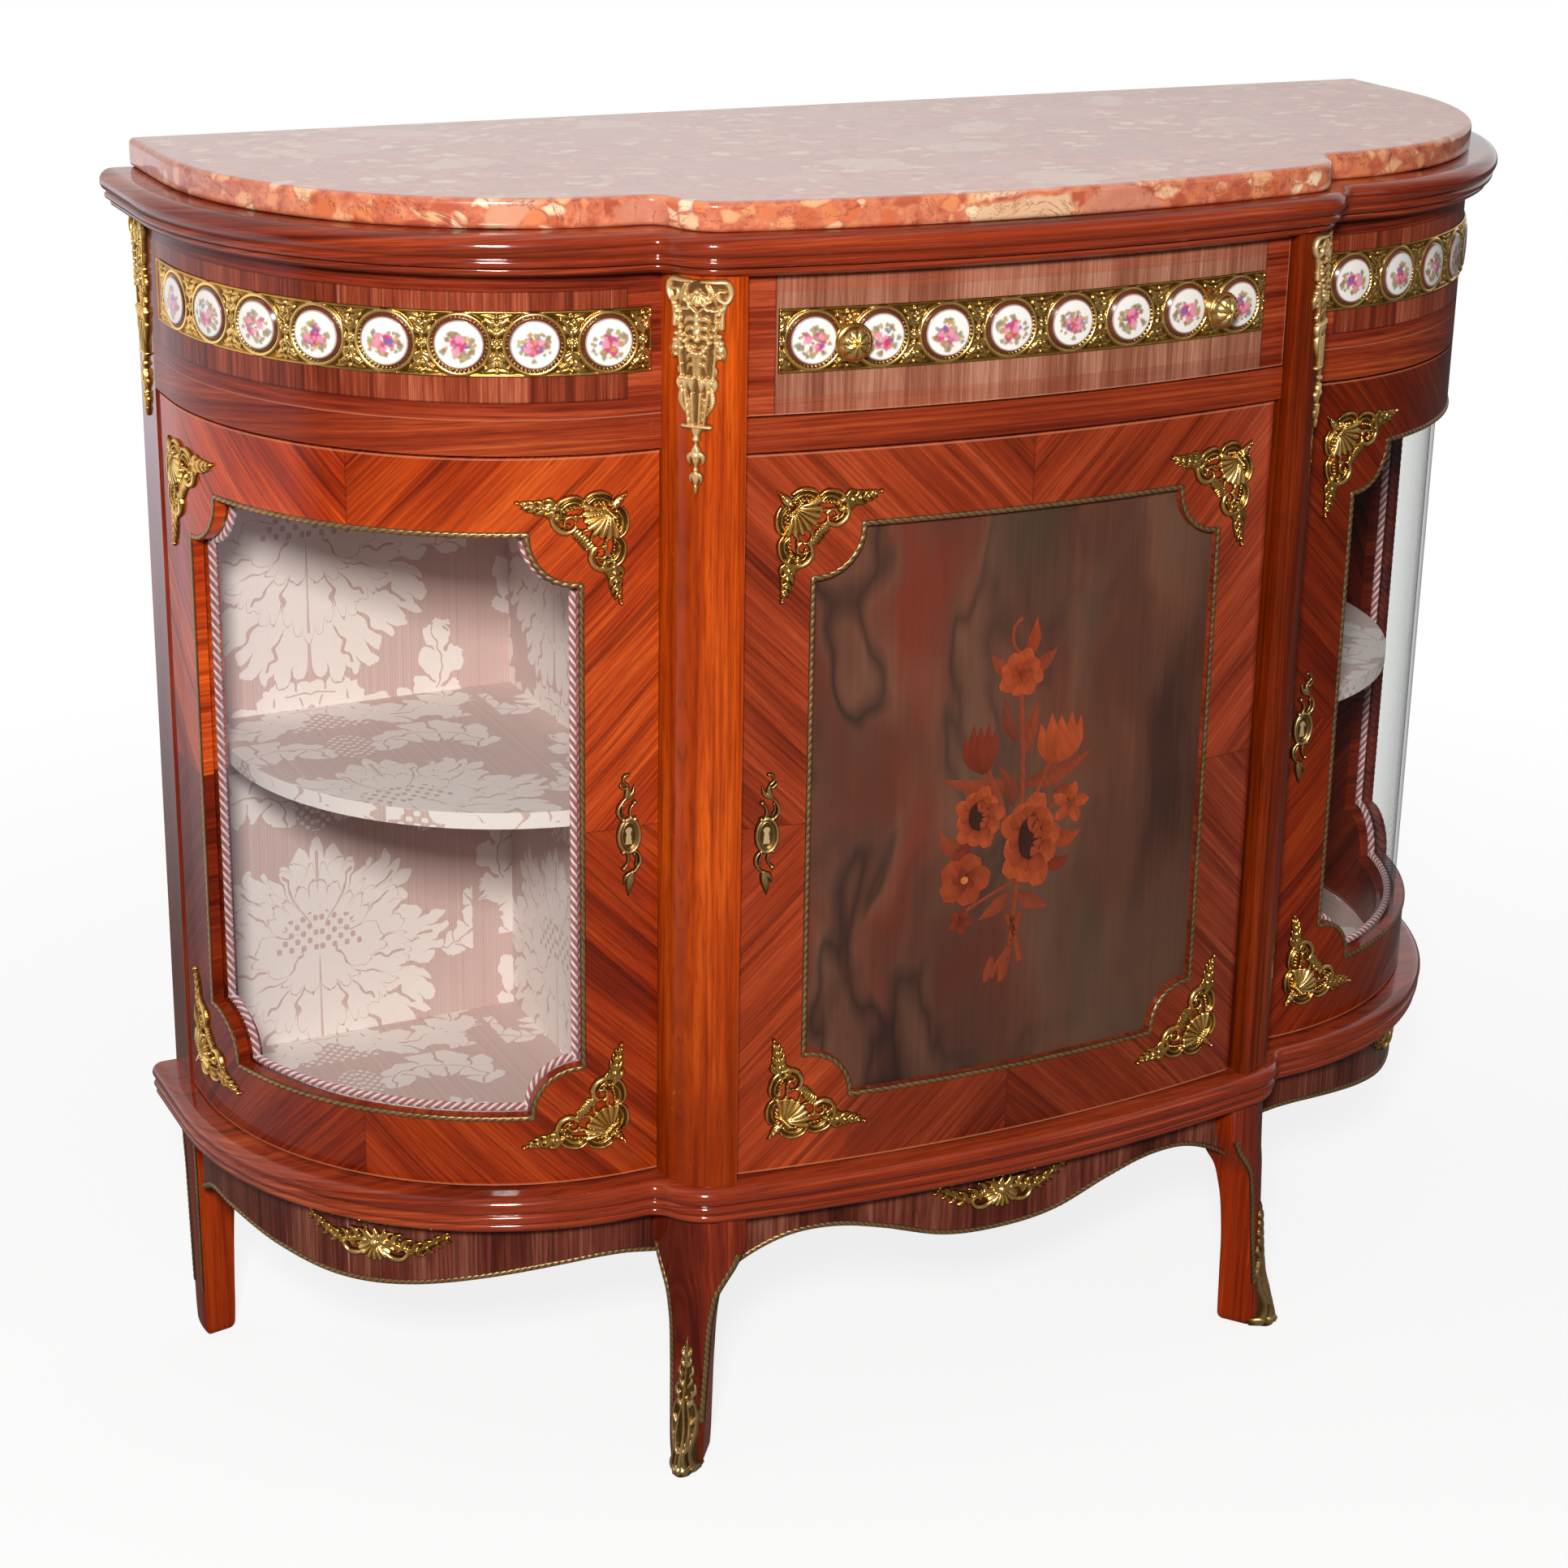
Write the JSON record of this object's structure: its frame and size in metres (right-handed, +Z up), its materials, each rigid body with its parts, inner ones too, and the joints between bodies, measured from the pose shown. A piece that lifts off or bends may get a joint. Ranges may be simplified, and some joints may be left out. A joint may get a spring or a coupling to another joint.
{
  "type": "demilune sideboard",
  "caption": "Demilune sideboard with a stone top, a bowed drawer over a bowed cupboard, curved glass doors at each side and cabriole legs.",
  "frame": {"origin": "middle of the footprint on the floor", "axes": "+Z up, the drawer and doors face -Y, +X towards the side where the middle door is hinged"},
  "size_m": [1.08, 0.3944, 0.93],
  "materials": {
    "marble": "polished",
    "moulding": "gloss lacquer",
    "carcase_wood": "plain",
    "drawer_wood": "plain",
    "pilaster": "gloss lacquer",
    "rosewood": "gloss lacquer",
    "leg_wood": "gloss lacquer",
    "gilt": "polished cast",
    "dull_brass": "antique",
    "bolt_brass": "machined",
    "porcelain": "glazed and painted",
    "fabric": "damask",
    "shelf_cloth": "covered in damask",
    "shelf_wood": "plain",
    "rope": "twisted",
    "glass": "clear",
    "door_veneer": "gloss lacquer",
    "marquetry": "gloss lacquer"
  },
  "bodies": {
    "carcase": {"apron_centre": "rosewood", "apron_left": "rosewood", "apron_right": "rosewood", "back_panel": "carcase_wood", "base_moulding": "moulding", "bottom_board": "carcase_wood", "carcase_mounts": "gilt", "cornice": "moulding", "frieze_left": "rosewood", "frieze_right": "rosewood", "gilt_edging": "dull_brass", "leg_back_left": "leg_wood", "leg_back_right": "leg_wood", "leg_front_left": "leg_wood", "leg_front_right": "leg_wood", "lining_left": "fabric", "lining_right": "fabric", "marble_top": "marble", "partition_left": "carcase_wood", "partition_right": "carcase_wood", "pilaster_left": "pilaster", "pilaster_right": "pilaster", "pivot_pins": "dull_brass", "rail_centre": "rosewood", "rail_left": "rosewood", "rail_right": "rosewood", "sabots": "gilt", "shelf_centre": "shelf_wood", "shelf_left": "shelf_cloth", "shelf_pins": "dull_brass", "shelf_right": "shelf_cloth", "side_bands": "gilt", "side_plaques": "porcelain", "stile_left": "pilaster", "stile_right": "pilaster", "top_board": "carcase_wood"},
    "drawer": {"drawer_front": "rosewood", "drawer_sides": "drawer_wood", "drawer_back": "drawer_wood", "drawer_bottom": "drawer_wood", "drawer_knobs": "gilt", "drawer_band": "gilt", "drawer_plaques": "porcelain"},
    "door_left": {"door_left_frame": "door_veneer", "door_left_glass": "glass", "door_left_rope": "rope", "door_left_edging": "dull_brass", "door_left_fittings": "gilt"},
    "door_right": {"door_right_frame": "door_veneer", "door_right_glass": "glass", "door_right_rope": "rope", "door_right_edging": "dull_brass", "door_right_fittings": "gilt"},
    "door_centre": {"door_centre_frame": "door_veneer", "door_centre_panel": "marquetry", "door_centre_edging": "dull_brass", "door_centre_fittings": "gilt"},
    "bolt_left": {"bolt_left": "bolt_brass"},
    "bolt_right": {"bolt_right": "bolt_brass"},
    "bolt_centre": {"bolt_centre": "bolt_brass"}
  },
  "joints": [
    {"name": "drawer_slide", "type": "slide", "parent": "carcase", "child": "drawer", "axis": [0, -1, 0], "range_m": [0, 0.25]},
    {"name": "door_left_hinge", "type": "hinge", "parent": "carcase", "child": "door_left", "pos_m": [-0.507, 0.14825, 0.495], "axis": [0, 0, -1], "range_deg": [0, 85]},
    {"name": "door_right_hinge", "type": "hinge", "parent": "carcase", "child": "door_right", "pos_m": [0.507, 0.14825, 0.495], "axis": [0, 0, 1], "range_deg": [0, 85]},
    {"name": "door_centre_hinge", "type": "hinge", "parent": "carcase", "child": "door_centre", "pos_m": [0.203, -0.14719, 0.495], "axis": [0, 0, 1], "range_deg": [0, 72]},
    {"name": "bolt_left_slide", "type": "slide", "parent": "door_left", "child": "bolt_left", "axis": [1, 0, 0], "range_m": [0, 0.008]},
    {"name": "bolt_right_slide", "type": "slide", "parent": "door_right", "child": "bolt_right", "axis": [-1, 0, 0], "range_m": [0, 0.008]},
    {"name": "bolt_centre_slide", "type": "slide", "parent": "door_centre", "child": "bolt_centre", "axis": [-1, 0, 0], "range_m": [0, 0.008]}
  ]
}
